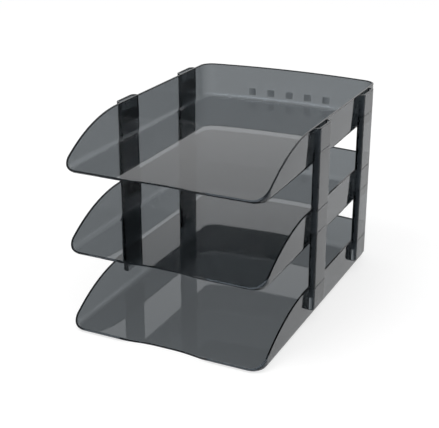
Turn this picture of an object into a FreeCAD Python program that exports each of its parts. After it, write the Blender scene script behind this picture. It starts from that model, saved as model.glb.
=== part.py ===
import FreeCAD, Part
import math
import os
import Sketcher

# Three-tier letter tray: three equal smoked mouldings carried above one another on
# eight plug-in risers.  The origin is the middle of the footprint on the desk, +X is
# the user's right, the open front faces -Y and +Z is up.

SIZES = [
    ("tray_width", 250.0, "underside of a tray from side to side, its floor radius ignored"),
    ("tray_depth", 368.0, "front edge to the foot of the rear corners"),
    ("rim_height", 48.0, "underside to the level part of the rim"),
    ("wall", 2.2, "thickness of the floor and walls"),
    ("draft", 1.5, "outward lean of the walls, degrees"),
    ("floor_radius", 8.0, "outside radius where the walls rise from the floor"),
    ("front_corner_radius", 18.0, "outside plan radius of the front corners"),
    ("rear_corner_radius", 17.0, "outside plan radius of the rear corners"),
    ("rear_bow", 11.0, "how far the middle of the rear wall stands behind its corners"),
    ("lip_height", 2.2, "where the sweep of the rim starts, over the front edge"),
    ("rim_sweep", 129.0, "run over which the side rim climbs to its full height"),
    ("recess_width", 131.0, "finger recess along the front edge"),
    ("recess_flat", 20.0, "straight middle of the finger recess"),
    ("recess_depth", 9.5, "finger recess, front to back"),
    ("recess_shoulder", 14.0, "radius where the front edge turns into the recess"),
    ("stop_width", 10.0, "paper stop low on the rear wall"),
    ("stop_height", 17.0, "top of a paper stop, from the underside of the tray"),
    ("stop_depth", 0.8, "paper stop, from the rear wall forwards"),
    ("stop_pitch", 27.5, "spacing of the paper stops"),
    ("stop_count", 5, "number of paper stops"),
    ("socket_length", 42.0, "riser socket along the tray's side"),
    ("socket_depth", 7.5, "riser socket, out from the rim"),
    ("socket_height", 28.0, "riser socket, down from the rim"),
    ("socket_wall", 2.0, "thickness of the socket's sleeve"),
    ("socket_corner", 5.6, "outside radius of the sleeve's two corners"),
    ("socket_setback", 157.0, "front edge of the tray to the middle of the front socket"),
    ("socket_spacing", 159.0, "front socket to rear socket"),
    ("tier_pitch", 100.0, "one tray's underside to the next"),
    ("spigot_length", 12.5, "riser spigot, into the socket"),
    ("spigot_gap", 0.2, "running gap between a spigot and its socket, all round"),
]

CUT_MARGIN = 5.0        # how far a cutting outline runs past the material it removes
TIERS = ("bottom", "middle", "top")


class Size:
    """A length known both as a number and as a formula on the sheet."""

    def __init__(self, number, formula):
        self.number = number
        self.formula = formula

    def joined(self, sign, other, number):
        return Size(number, f"({self.formula} {sign} {other.formula})")

    def __add__(self, other):
        other = as_size(other)
        return self.joined("+", other, self.number + other.number)

    def __sub__(self, other):
        other = as_size(other)
        return self.joined("-", other, self.number - other.number)

    def __mul__(self, other):
        other = as_size(other)
        return self.joined("*", other, self.number * other.number)

    def __truediv__(self, other):
        other = as_size(other)
        return self.joined("/", other, self.number / other.number)

    def __neg__(self):
        return Size(-self.number, f"(0 - {self.formula})")

    def root(self):
        return Size(math.sqrt(self.number), f"sqrt({self.formula})")

    def tangent(self):
        return Size(math.tan(math.radians(self.number)), f"tan({self.formula} * 1 deg)")


def as_size(value):
    if isinstance(value, Size):
        return value
    return Size(float(value), f"({value})")


doc = FreeCAD.newDocument("letter_tray")
sheet = doc.addObject("Spreadsheet::Sheet", "Sizes")
size = {}
for row, (alias, value, meaning) in enumerate(SIZES, start=1):
    sheet.set(f"A{row}", meaning)
    sheet.set(f"B{row}", str(value))
    sheet.setAlias(f"B{row}", alias)
    size[alias] = Size(float(value), f"Sizes.{alias}")
doc.recompute()


def bind(feature, name, length):
    feature.setExpression(name, as_size(length).formula)


# --- lengths that follow from the sheet --------------------------------------------

half_width = size["tray_width"] / 2
half_depth = size["tray_depth"] / 2
lean = size["draft"].tangent()
rim_half_width = half_width + size["rim_height"] * lean
socket_foot = size["rim_height"] - size["socket_height"]
riser_length = size["tier_pitch"] - size["socket_height"]
front_socket = size["socket_setback"] - half_depth
rear_socket = front_socket + size["socket_spacing"]
bow_radius = (half_width * half_width / size["rear_bow"] + size["rear_bow"]) / 2
bow_centre = half_depth + size["rear_bow"] - bow_radius


def root_of_difference(long, short):
    """The third side of a right-angled triangle."""
    return (long * long - short * short).root()


# --- sketches and features ---------------------------------------------------------

def origin_plane(body, role):
    for feature in body.Origin.OriginFeatures:
        if feature.Role == role:
            return feature
    raise RuntimeError(f"{body.Label} has no {role}")


def pin(sketch, kind, where, length):
    """Hold one coordinate, or a radius, at a formula of the sheet."""
    index = sketch.addConstraint(Sketcher.Constraint(kind, *where, length.number))
    sketch.setExpression(f"Constraints[{index}]", length.formula)


def add_side(sketch, start, end, radius=None, turn=None):
    if radius is None:
        sketch.addGeometry(Part.LineSegment(start, end))
        return
    chord = end - start
    across = FreeCAD.Vector(chord.y, -chord.x, 0).normalize()
    rise = radius.number - math.sqrt(radius.number ** 2 - chord.Length ** 2 / 4)
    middle = (start + end) / 2 + across * (rise * turn)
    sketch.addGeometry(Part.Arc(start, middle, end))


def end_at(sketch, side, point):
    """Which end of a side lies at a point: 1 is its start, 2 is its end."""
    gaps = [sketch.getPoint(side, end).distanceToPoint(point) for end in (1, 2)]
    return 1 + gaps.index(min(gaps))


def outline(body, name, role, loops, height=None):
    """A sketch of closed loops, every corner pinned to formulas.

    A loop is a list of corners (x, y), each the end of one side.  A corner (x, y, radius,
    turn) ends an arc, which bulges to the right of the way round (turn = 1) or to the left.
    """
    sketch = body.newObject("Sketcher::SketchObject", name)
    sketch.AttachmentSupport = (origin_plane(body, role), "")
    sketch.MapMode = "FlatFace"
    if height is not None:
        bind(sketch, "AttachmentOffset.Base.z", height)
    for loop in loops:
        points = [FreeCAD.Vector(x.number, y.number, 0) for x, y, *_ in loop]
        first = sketch.GeometryCount
        for start, end, corner in zip(points[-1:] + points, points, loop):
            add_side(sketch, start, end, *corner[2:])
        for place, (point, corner) in enumerate(zip(points, loop)):
            side = first + place
            following = first + (place + 1) % len(loop)
            finish = end_at(sketch, side, point)
            start = end_at(sketch, following, point)
            joint = Sketcher.Constraint("Coincident", side, finish, following, start)
            sketch.addConstraint(joint)
            pin(sketch, "DistanceX", (-1, 1, side, finish), corner[0])
            pin(sketch, "DistanceY", (-1, 1, side, finish), corner[1])
            if len(corner) > 2:
                pin(sketch, "Radius", (side,), corner[2])
    return sketch


def extrude(body, kind, name, sketch, length=None, both_ways=False):
    """A Pad or a Pocket; without a length it runs right through."""
    feature = body.newObject(f"PartDesign::{kind}", name)
    feature.Profile = sketch
    if length is None:
        feature.Type = "ThroughAll"
    else:
        bind(feature, "Length", length)
    if both_ways:
        feature.Midplane = True
    return feature


def bow(x_back, x_face, y_middle, half_length, corner, rounded):
    """Section of a socket or a riser: flat back, flat face, corners rounded or cut off."""
    y_front = y_middle - half_length
    y_rear = y_middle + half_length
    turn = (corner, 1) if rounded else ()
    return [
        (x_back, y_front),
        (x_face - corner, y_front),
        (x_face, y_front + corner, *turn),
        (x_face, y_rear - corner),
        (x_face - corner, y_rear, *turn),
        (x_back, y_rear),
    ]


# --- tray --------------------------------------------------------------------------

def footprint(grow):
    """Plan of a tray at desk height, grown outwards: rounded corners, bowed rear edge."""
    corner = size["rear_corner_radius"]
    corner_x = half_width - corner
    reach = bow_radius - corner
    climb = root_of_difference(reach, corner_x)
    side = half_width + grow
    blend_x = corner_x * (bow_radius + grow) / reach
    blend_y = bow_centre + climb * (bow_radius + grow) / reach
    front_corner = size["front_corner_radius"]
    front_x = half_width - front_corner
    front_y = front_corner - half_depth
    return [
        (front_x, -half_depth - grow),
        (side, front_y, front_corner + grow, 1),
        (side, bow_centre + climb),
        (blend_x, blend_y, corner + grow, 1),
        (-blend_x, blend_y, bow_radius + grow, 1),
        (-side, bow_centre + climb, corner + grow, 1),
        (-side, front_y),
        (-front_x, -half_depth - grow, front_corner + grow, 1),
    ]


def side_trim():
    """What is cut away seen from the side: all above the rim's long arc from the front lip."""
    rise = size["rim_height"] - size["lip_height"]
    run = size["rim_sweep"]
    radius = (run * run / rise + rise) / 2
    front = -half_depth
    outside = front - CUT_MARGIN
    above = size["rim_height"] + CUT_MARGIN
    return [
        (outside, above),
        (outside, size["lip_height"]),
        (front, size["lip_height"]),
        (front + run, size["rim_height"], radius, -1),
        (front + run, above),
    ]


def finger_recess():
    """Shallow scoop out of the front edge: tight shoulders, then long hollow sweeps."""
    depth = size["recess_depth"]
    shoulder = size["recess_shoulder"]
    run = (size["recess_width"] - size["recess_flat"]) / 2
    both_radii = (run * run / depth + depth) / 2
    sweep = both_radii - shoulder
    front = -half_depth
    outside = front - CUT_MARGIN
    outer = size["recess_width"] / 2
    inner = size["recess_flat"] / 2
    bend_x = outer - run * shoulder / both_radii
    bend_y = front + depth * shoulder / both_radii
    return [
        (-outer, outside),
        (outer, outside),
        (outer, front),
        (bend_x, bend_y, shoulder, -1),
        (inner, front + depth, sweep, 1),
        (-inner, front + depth),
        (-bend_x, bend_y, sweep, 1),
        (-outer, front, shoulder, -1),
    ]


def paper_stop(x_middle):
    """Side view of a paper stop: a pad on the rear wall, its back sunk to the wall's middle."""
    wall_foot = bow_centre + root_of_difference(bow_radius, x_middle)
    back = wall_foot - size["wall"] / 2
    face = wall_foot - size["wall"] - size["stop_depth"]
    low = size["floor_radius"]
    high = size["stop_height"]
    return [
        (face + low * lean, low),
        (back + low * lean, low),
        (back + high * lean, high),
        (face + high * lean, high),
    ]


def socket_loops(x_back, skin, rounded):
    """The sections of the right-hand sockets, offset inwards by a skin."""
    return [
        bow(
            x_back,
            rim_half_width + size["socket_depth"] - skin,
            middle,
            size["socket_length"] / 2 - skin,
            size["socket_corner"] - skin,
            rounded,
        )
        for middle in (front_socket, rear_socket)
    ]


def near(value, target):
    return abs(value - target) < 0.01


def wall_faces(shape, foot):
    """The upright faces that rise from one level to the rim."""
    names = []
    for number, face in enumerate(shape.Faces, start=1):
        box = face.BoundBox
        if near(box.ZMin, foot) and near(box.ZMax, size["rim_height"].number):
            names.append(f"Face{number}")
    return names


def foot_edges(shape, foot):
    """The edges where those faces meet the level they rise from."""
    names = []
    for number, edge in enumerate(shape.Edges, start=1):
        box = edge.BoundBox
        if near(box.ZMin, foot) and near(box.ZMax, foot):
            names.append(f"Edge{number}")
    return names


def lean_walls(body, name, base, foot, outside):
    """Draft the walls outwards from their plan at desk height."""
    draft = body.newObject("PartDesign::Draft", name)
    draft.Base = (base, wall_faces(base.Shape, foot))
    draft.NeutralPlane = (origin_plane(body, "XY_Plane"), [""])
    draft.Reversed = outside
    bind(draft, "Angle", size["draft"])
    doc.recompute()
    return draft


def round_foot(body, name, base, foot, radius):
    fillet = body.newObject("PartDesign::Fillet", name)
    fillet.Base = (base, foot_edges(base.Shape, foot))
    bind(fillet, "Radius", radius)
    doc.recompute()
    return fillet


def make_tray(tier, level):
    body = doc.addObject("PartDesign::Body", f"{tier}_tray")
    body.Label = f"{tier}_tray"
    bind(body, "Placement.Base.z", size["tier_pitch"] * level)

    # A block with leaning sides, hollowed from above, then rounded inside and outside.
    wall = size["wall"]
    block_outline = outline(body, f"{tier}_footprint", "XY_Plane", [footprint(as_size(0))])
    block = extrude(body, "Pad", f"{tier}_block", block_outline, size["rim_height"])
    doc.recompute()
    block = lean_walls(body, f"{tier}_outer_draft", block, 0, True)
    hollow_outline = outline(
        body, f"{tier}_hollow_outline", "XY_Plane", [footprint(-wall)], size["rim_height"]
    )
    depth = size["rim_height"] - wall
    hollow = extrude(body, "Pocket", f"{tier}_hollow", hollow_outline, depth)
    doc.recompute()
    shell = lean_walls(body, f"{tier}_inner_draft", hollow, wall.number, False)
    inner_radius = size["floor_radius"] - wall
    shell = round_foot(body, f"{tier}_inner_radius", shell, wall.number, inner_radius)
    round_foot(body, f"{tier}_outer_radius", shell, 0, size["floor_radius"])

    trim_outline = outline(body, f"{tier}_side_outline", "YZ_Plane", [side_trim()])
    extrude(body, "Pocket", f"{tier}_side_trim", trim_outline, both_ways=True)
    recess_outline = outline(body, f"{tier}_recess_outline", "XY_Plane", [finger_recess()])
    extrude(body, "Pocket", f"{tier}_finger_recess", recess_outline, both_ways=True)

    # Each sleeve starts inside the leaning wall, and its bore is upright.
    wall_core = half_width + socket_foot * lean - size["wall"] / 4
    sleeve_outline = outline(
        body, f"{tier}_sleeve_outline", "XY_Plane", socket_loops(wall_core, 0, True), socket_foot
    )
    sleeves = extrude(body, "Pad", f"{tier}_sleeves", sleeve_outline, size["socket_height"])
    bore_outline = outline(
        body,
        f"{tier}_bore_outline",
        "XY_Plane",
        socket_loops(rim_half_width, size["socket_wall"], False),
        size["rim_height"],
    )
    bores = extrude(body, "Pocket", f"{tier}_bores", bore_outline, size["socket_height"])
    doc.recompute()
    left_side = body.newObject("PartDesign::Mirrored", f"{tier}_left_sockets")
    left_side.Originals = [sleeves, bores]
    left_side.MirrorPlane = (origin_plane(body, "YZ_Plane"), [""])
    body.Tip = left_side
    doc.recompute()

    count = int(size["stop_count"].number)
    for place in range(count):
        x_middle = size["stop_pitch"] * (place - (count - 1) / 2)
        stop_outline = outline(
            body, f"{tier}_stop_outline_{place}", "YZ_Plane", [paper_stop(x_middle)], x_middle
        )
        extrude(body, "Pad", f"{tier}_stop_{place}", stop_outline, size["stop_width"], True)
    doc.recompute()
    return body


# --- riser -------------------------------------------------------------------------

def make_riser(name, level, side, y_middle):
    """A bar with a shoulder at each end and a spigot beyond it."""
    body = doc.addObject("PartDesign::Body", name)
    body.Label = name
    bind(body, "Placement.Base.x", rim_half_width * side)
    bind(body, "Placement.Base.y", y_middle)
    bind(body, "Placement.Base.z", size["tier_pitch"] * level + size["rim_height"])
    if side < 0:
        bind(body, "Placement.Rotation.Angle", 180)

    middle = as_size(0)
    gap = size["spigot_gap"]
    neck = size["socket_wall"] + gap
    column_outline = outline(
        body,
        f"{name}_column_outline",
        "XY_Plane",
        [
            bow(
                middle,
                size["socket_depth"],
                middle,
                size["socket_length"] / 2,
                size["socket_corner"],
                True,
            )
        ],
    )
    extrude(body, "Pad", f"{name}_column", column_outline, riser_length)

    spigot_outline = outline(
        body,
        f"{name}_spigot_outline",
        "XY_Plane",
        [
            bow(
                gap,
                size["socket_depth"] - neck,
                middle,
                size["socket_length"] / 2 - neck,
                size["socket_corner"] - neck,
                False,
            )
        ],
        -size["spigot_length"],
    )
    whole = riser_length + size["spigot_length"] * 2
    extrude(body, "Pad", f"{name}_spigots", spigot_outline, whole)
    doc.recompute()
    return body


# --- build, check and write --------------------------------------------------------

parts = []
for level, tier in enumerate(TIERS):
    parts.append(make_tray(tier, level))
for level, stage in enumerate(("lower", "upper")):
    for side, hand in ((-1, "left"), (1, "right")):
        parts.append(make_riser(f"{stage}_front_{hand}_riser", level, side, front_socket))
        parts.append(make_riser(f"{stage}_rear_{hand}_riser", level, side, rear_socket))
doc.recompute()

for item in doc.Objects:
    if "Invalid" in item.State or "Error" in item.State:
        raise RuntimeError(f"{item.Label} failed: {item.State}")
for body in parts:
    if body.Shape.isNull() or not body.Shape.isValid():
        raise RuntimeError(f"{body.Label} has no valid shape")
    if len(body.Shape.Solids) != 1:
        raise RuntimeError(f"{body.Label} is {len(body.Shape.Solids)} solids, not one")

os.makedirs("parts", exist_ok=True)
for body in parts:
    body.Shape.exportStep(f"parts/{body.Label}.step")
    box = body.Shape.BoundBox
    print(
        f"{body.Label}: {body.Shape.Volume:.0f} mm3,"
        f" x {box.XMin:.1f}..{box.XMax:.1f},"
        f" y {box.YMin:.1f}..{box.YMax:.1f},"
        f" z {box.ZMin:.1f}..{box.ZMax:.1f}"
    )
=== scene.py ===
import math

import bpy
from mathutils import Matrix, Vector

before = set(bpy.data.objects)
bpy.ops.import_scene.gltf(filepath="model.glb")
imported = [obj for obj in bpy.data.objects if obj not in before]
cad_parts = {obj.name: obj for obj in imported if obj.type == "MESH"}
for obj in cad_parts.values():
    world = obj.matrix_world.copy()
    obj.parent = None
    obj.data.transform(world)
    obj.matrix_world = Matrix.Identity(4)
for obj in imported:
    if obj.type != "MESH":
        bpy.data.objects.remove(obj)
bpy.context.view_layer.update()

# Looks of a three-tier stack of smoked letter trays.  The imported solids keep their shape;
# this script softens their edges, gives them their plastic, and sets up floor, light and
# camera.  Lengths are in metres.

MM = 0.001

# --- edges --------------------------------------------------------------------------

TRAY_ROUND = 0.3 * MM               # what the mould leaves on a tray's outward edges
RISER_ROUND = 0.6 * MM              # and on a riser's edges
ROUND_STEPS = 2                     # facets across a round
RISER_BACK = 126.6 * MM             # a riser's edges nearer the middle than this stay sharp
CORNER_SIDE = 95.0 * MM             # a tray's front corners lie beyond this, to either side,
CORNER_BACK = -160.0 * MM           # and in front of this
CORNER_SHARE = 0.4                  # of the round is left there
SHARP_ANGLE = math.radians(30)      # a bend sharper than this is an edge
FLAT_ANGLE = math.radians(0.2)      # facets nearer than this to one plane are one face
WELD_GAP = 0.001 * MM

# --- plastic ------------------------------------------------------------------------

def heights(name):
    """A node's lowest and highest point."""
    levels = [vertex.co.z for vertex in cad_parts[name].data.vertices]
    return min(levels), max(levels)


tray_foot, tray_top = heights("bottom_tray")
next_foot, _ = heights("middle_tray")
TIER_PITCH = next_foot - tray_foot
RIM_HEIGHT = tray_top - tray_foot   # underside to the level part of the rim
RISER_MIDDLE = sum(heights("lower_front_left_riser")) / 2

# Light caught in the plastic leaves the real rims and risers' ends nearly black; here that is
# painted shade, a nearly black colour in a band along them.
SWEEP_FRONT = -184.0 * MM           # where the sweep of the side rims starts, front to back,
SWEEP_FOOT = 2.2 * MM               # and how high
SWEEP_RUN = 129.0 * MM              # run over which it climbs to the rim's full height
UNDERSIDE_ROOM = 10.0 * MM          # keeps a tray's underside off the repeat of the tiers
PAINTED_SHADE_BAND = 1.8 * MM                # how far the painted shade line reaches from the edge
CLEAR_SHADE = (0.98, 0.985, 0.99, 1.0)
# the painted shade along the rims and the risers' ends
EDGE_PAINTED_SHADE = (0.012, 0.014, 0.016, 1.0)

# The colour that the plastic lets through, and how densely it takes the rest, per metre.
SMOKE_TINT = (0.30, 0.33, 0.35, 1.0)
TRAY_SMOKE = 1080.0
RISER_SMOKE = 480.0

CLEAR_GLOSS = {"IOR": 1.59, "Specular Tint": (0.25, 0.30, 0.35, 1.0), "Transmission Weight": 1.0}
RIPPLE = {"Scale": 35.0, "Detail": 2.0}
RIPPLE_RELIEF = {"Strength": 0.02, "Distance": 0.2 * MM}
SCUFFS = {"Scale": 220.0, "Detail": 6.0}
SCUFF_DULLING = {"From Min": 0.35, "From Max": 0.75, "To Min": 0.02, "To Max": 0.05}
LAMP_SHARE = (0.9, 0.9, 0.9, 1.0)   # of the lamps' light comes through each face

# --- surroundings -------------------------------------------------------------------

WHITE = (1.0, 1.0, 1.0, 1.0)
SURROUND_LIGHT = 0.75               # of the white surround where it lights things
SURROUND_SEEN = 1.0                 # and where it is looked at
FLOOR_RADIUS = 6.0
FLOOR_SIDES = 96
FLOOR_DROP = 0.2 * MM               # under the trays, so that no two faces coincide
FLOOR_LIGHT = (0.9, 0.9, 0.9, 1.0)  # the floor's colour where it lights things
FLOOR_SEEN = (0.42, 0.42, 0.42, 1.0)    # and where it is looked at, under a glow
FLOOR_GLOW = 0.66

# Each lamp's place, its width, and its power in watts.
LAMPS = {
    "key": (Vector((-0.6, -0.9, 1.9)), 1.2, 14.0),
    "fill": (Vector((1.4, -0.6, 1.2)), 1.0, 5.0),
}
LAMP_AIM = Vector((0, 0, 0.12))     # near the middle of the stack
LIGHT_BOUNCES = 24                  # enough to pass through all the walls in line

# The camera stands in front, to the right of and above the stack.
CAMERA_PLACE = Vector((0.4958, -1.0606, 0.5750))
CAMERA_TURN = math.radians(25.69)   # to the left of straight ahead
CAMERA_TILT = math.radians(21.87)   # below level
FOCAL_PIXELS = 995.5
IMAGE_WIDTH = 439                   # in pixels too
SENSOR_WIDTH = 36.0                 # in millimetres


# --- nodes --------------------------------------------------------------------------

def new_material(name):
    material = bpy.data.materials.new(name)
    material.use_nodes = True
    material.node_tree.nodes.clear()
    return material


class Shading:
    """Adds and joins the nodes of one node tree."""

    def __init__(self, tree):
        self.tree = tree

    def add(self, kind, values=None, family="ShaderNode", **properties):
        """A node of a kind and family, with its input sockets' values and its properties."""
        node = self.tree.nodes.new(family + kind)
        for name, value in properties.items():
            setattr(node, name, value)
        for socket, value in (values or {}).items():
            node.inputs[socket].default_value = value
        return node

    def join(self, source, target, socket=0):
        """Leads a node's first output, or the output given, to a node's input."""
        output = source.outputs[0] if hasattr(source, "outputs") else source
        self.tree.links.new(output, target.inputs[socket])


def calculate(shading, operation, first, second=0.0):
    """A Math node of one or two terms, each a number or a node's output."""
    node = shading.add("Math", operation=operation)
    for socket, term in enumerate((first, second)):
        if isinstance(term, float):
            node.inputs[socket].default_value = term
        else:
            shading.join(term, node, socket)
    return node


def mix(shading, share, first, second):
    """A shader that turns from the first to the second as the share goes from 0 to 1."""
    mixed = shading.add("MixShader")
    for socket, source in enumerate((share, first, second)):
        shading.join(source, mixed, socket)
    return mixed


def background_rays(shading):
    """1 for rays that show the background: straight, mirrored or through clear plastic."""
    path = shading.add("LightPath")
    mirrored = calculate(
        shading, "MAXIMUM", path.outputs["Is Camera Ray"], path.outputs["Is Glossy Ray"]
    )
    return calculate(shading, "MAXIMUM", mirrored, path.outputs["Is Transmission Ray"])


def above_rim(shading, split):
    """Height over a tray's rim, which climbs from the front in one arc."""
    rise = RIM_HEIGHT - SWEEP_FOOT
    radius = (SWEEP_RUN ** 2 / rise + rise) / 2
    raised = calculate(shading, "ADD", split.outputs["Z"], UNDERSIDE_ROOM)
    level = calculate(shading, "FLOORED_MODULO", raised, TIER_PITCH)
    to_go = calculate(shading, "SUBTRACT", SWEEP_FRONT + SWEEP_RUN, split.outputs["Y"])
    run = calculate(shading, "MAXIMUM", to_go, 0.0)
    square = calculate(shading, "MULTIPLY", run, run)
    drop = calculate(shading, "SUBTRACT", radius ** 2, square)
    arc = calculate(shading, "SQRT", drop)
    rim = calculate(shading, "ADD", arc, UNDERSIDE_ROOM + RIM_HEIGHT - radius)
    return calculate(shading, "SUBTRACT", level, rim)


def past_shoulder(shading, split):
    """Height beyond a riser's nearer shoulder, taken from the middle of its length."""
    raised = calculate(shading, "ADD", split.outputs["Z"], TIER_PITCH / 2 - RISER_MIDDLE)
    level = calculate(shading, "FLOORED_MODULO", raised, TIER_PITCH)
    offset = calculate(shading, "SUBTRACT", level, TIER_PITCH / 2)
    reach = calculate(shading, "ABSOLUTE", offset)
    shoulder = RISER_MIDDLE - RIM_HEIGHT
    return calculate(shading, "SUBTRACT", reach, shoulder)


def smoked_plastic(name, density, past_edge):
    """Clear smoked styrene: darkened by its depth, with painted shade at its edges, glossy,
    faintly rippled.
    """
    material = new_material(name)
    shading = Shading(material.node_tree)
    place = shading.add("TexCoord").outputs["Object"]

    ripple = shading.add("TexNoise", RIPPLE)
    shading.join(place, ripple, "Vector")
    bump = shading.add("Bump", RIPPLE_RELIEF)
    shading.join(ripple, bump, "Height")

    scuffs = shading.add("TexNoise", SCUFFS)
    shading.join(place, scuffs, "Vector")
    gloss = shading.add("MapRange", SCUFF_DULLING)
    shading.join(scuffs, gloss, "Value")

    split = shading.add("SeparateXYZ")
    shading.join(place, split, "Vector")
    # painted shade: a nearly black line in the plastic's colour along the rims and the risers'
    # ends
    painted_shade_line = shading.add("MapRange", {"From Min": -PAINTED_SHADE_BAND, "From Max": -PAINTED_SHADE_BAND / 2})
    shading.join(past_edge(shading, split), painted_shade_line, "Value")
    shade = shading.add("MixRGB", {"Color1": CLEAR_SHADE, "Color2": EDGE_PAINTED_SHADE})
    shading.join(painted_shade_line, shade, "Fac")

    plastic = shading.add("BsdfPrincipled", CLEAR_GLOSS)
    shading.join(shade, plastic, "Base Color")
    shading.join(gloss, plastic, "Roughness")
    shading.join(bump, plastic, "Normal")

    lamp_side = shading.add("BsdfTransparent", {"Color": LAMP_SHARE})
    to_lamp = shading.add("LightPath").outputs["Is Shadow Ray"]
    depth = shading.add("VolumeAbsorption", {"Color": SMOKE_TINT, "Density": density})
    finish = shading.add("OutputMaterial")
    shading.join(mix(shading, to_lamp, plastic, lamp_side), finish, "Surface")
    shading.join(depth, finish, "Volume")
    return material


# --- object -------------------------------------------------------------------------

def off_riser_back(marking, split):
    """1, but 0 at a riser's back, where the step behind a spigot is thinner than the round."""
    across = calculate(marking, "ABSOLUTE", split.outputs["X"])
    return calculate(marking, "GREATER_THAN", across, RISER_BACK)


def less_at_corner(marking, split):
    """1, but less at a tray's front corners, where the rim is too tight for the full round."""
    across = calculate(marking, "ABSOLUTE", split.outputs["X"])
    aside = calculate(marking, "GREATER_THAN", across, CORNER_SIDE)
    ahead = calculate(marking, "LESS_THAN", split.outputs["Y"], CORNER_BACK)
    corner = calculate(marking, "MULTIPLY", aside, ahead)
    lost = calculate(marking, "MULTIPLY", corner, 1.0 - CORNER_SHARE)
    return calculate(marking, "SUBTRACT", 1.0, lost)


def mark_edges(name, measure, share):
    """Geometry nodes that mark each sharp edge with its share of the round.

    The measure is the edge's Unsigned Angle, or its Signed Angle for outward edges only.
    """
    tree = bpy.data.node_groups.new(name, "GeometryNodeTree")
    for way in ("INPUT", "OUTPUT"):
        tree.interface.new_socket("Geometry", in_out=way, socket_type="NodeSocketGeometry")
    marking = Shading(tree)
    split = marking.add("SeparateXYZ")
    marking.join(marking.add("InputPosition", family="GeometryNode"), split)
    angle = marking.add("InputMeshEdgeAngle", family="GeometryNode").outputs[measure]
    sharp = calculate(marking, "GREATER_THAN", angle, SHARP_ANGLE)
    mark = marking.add(
        "StoreNamedAttribute",
        {"Name": "bevel_weight_edge"},
        family="GeometryNode",
        data_type="FLOAT",
        domain="EDGE",
    )
    marking.join(marking.add("GroupInput", family="Node"), mark, "Geometry")
    marking.join(calculate(marking, "MULTIPLY", sharp, share(marking, split)), mark, "Value")
    marking.join(mark, marking.add("GroupOutput", family="Node"))
    return tree


def soften(piece, edge_round, marks):
    """Welds the facets, rounds the sharp edges and shades the curved walls smooth."""
    weld = piece.modifiers.new("weld", "WELD")
    weld.merge_threshold = WELD_GAP
    flats = piece.modifiers.new("flats", "DECIMATE")
    flats.decimate_type = "DISSOLVE"
    flats.angle_limit = FLAT_ANGLE
    piece.modifiers.new("marks", "NODES").node_group = marks
    edges = piece.modifiers.new("edges", "BEVEL")
    edges.width = edge_round
    edges.segments = ROUND_STEPS
    edges.limit_method = "WEIGHT"
    edges.use_clamp_overlap = False
    piece.modifiers.new("shade", "WEIGHTED_NORMAL")


def dress(ending, material, edge_round, marks):
    """Gives the pieces whose names end so their plastic and their rounded edges."""
    for name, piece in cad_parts.items():
        if name.endswith(ending):
            piece.data.materials.clear()
            piece.data.materials.append(material)
            soften(piece, edge_round, marks)


tray_plastic = smoked_plastic("smoked_tray", TRAY_SMOKE, above_rim)
riser_plastic = smoked_plastic("smoked_riser", RISER_SMOKE, past_shoulder)
tray_edges = mark_edges("tray_edges", "Signed Angle", less_at_corner)
riser_edges = mark_edges("riser_edges", "Unsigned Angle", off_riser_back)
dress("_tray", tray_plastic, TRAY_ROUND, tray_edges)
dress("_riser", riser_plastic, RISER_ROUND, riser_edges)


# --- floor, light and camera ----------------------------------------------------------

def make_world():
    world = bpy.data.worlds.new("studio")
    bpy.context.scene.world = world
    world.use_nodes = True
    world.node_tree.nodes.clear()
    shading = Shading(world.node_tree)
    light = shading.add("Background", {"Color": WHITE, "Strength": SURROUND_LIGHT})
    backdrop = shading.add("Background", {"Color": WHITE, "Strength": SURROUND_SEEN})
    shared = mix(shading, background_rays(shading), light, backdrop)
    shading.join(shared, shading.add("OutputWorld"), "Surface")


def make_floor():
    bpy.ops.mesh.primitive_circle_add(
        vertices=FLOOR_SIDES, radius=FLOOR_RADIUS, fill_type="NGON"
    )
    floor = bpy.context.object
    floor.name = "floor"
    floor.location.z = -FLOOR_DROP
    material = new_material("floor_paper")
    shading = Shading(material.node_tree)
    lit = shading.add("BsdfDiffuse", {"Color": FLOOR_LIGHT})
    shaded = shading.add("BsdfDiffuse", {"Color": FLOOR_SEEN})
    glow = shading.add("Emission", {"Color": WHITE, "Strength": FLOOR_GLOW})
    seen = shading.add("AddShader")
    shading.join(shaded, seen, 0)
    shading.join(glow, seen, 1)
    shared = mix(shading, background_rays(shading), lit, seen)
    shading.join(shared, shading.add("OutputMaterial"), "Surface")
    floor.data.materials.append(material)


def soft_lamp(name, place, size, power):
    light = bpy.data.lights.new(name, "AREA")
    light.shape = "DISK"
    light.size = size
    light.energy = power
    lamp = bpy.data.objects.new(name, light)
    lamp.location = place
    lamp.rotation_euler = (LAMP_AIM - place).to_track_quat("-Z", "Y").to_euler()
    bpy.context.scene.collection.objects.link(lamp)


def make_camera():
    lens = bpy.data.cameras.new("camera")
    lens.sensor_width = SENSOR_WIDTH
    lens.lens = FOCAL_PIXELS * SENSOR_WIDTH / IMAGE_WIDTH
    camera = bpy.data.objects.new("camera", lens)
    camera.location = CAMERA_PLACE
    camera.rotation_euler = (math.pi / 2 - CAMERA_TILT, 0, CAMERA_TURN)
    bpy.context.scene.collection.objects.link(camera)
    bpy.context.scene.camera = camera


make_world()
make_floor()
for lamp_name, lamp_values in LAMPS.items():
    soft_lamp(lamp_name, *lamp_values)
make_camera()

scene = bpy.context.scene
scene.view_settings.view_transform = "Standard"
scene.cycles.max_bounces = LIGHT_BOUNCES
scene.cycles.transmission_bounces = LIGHT_BOUNCES
scene.cycles.transparent_max_bounces = LIGHT_BOUNCES
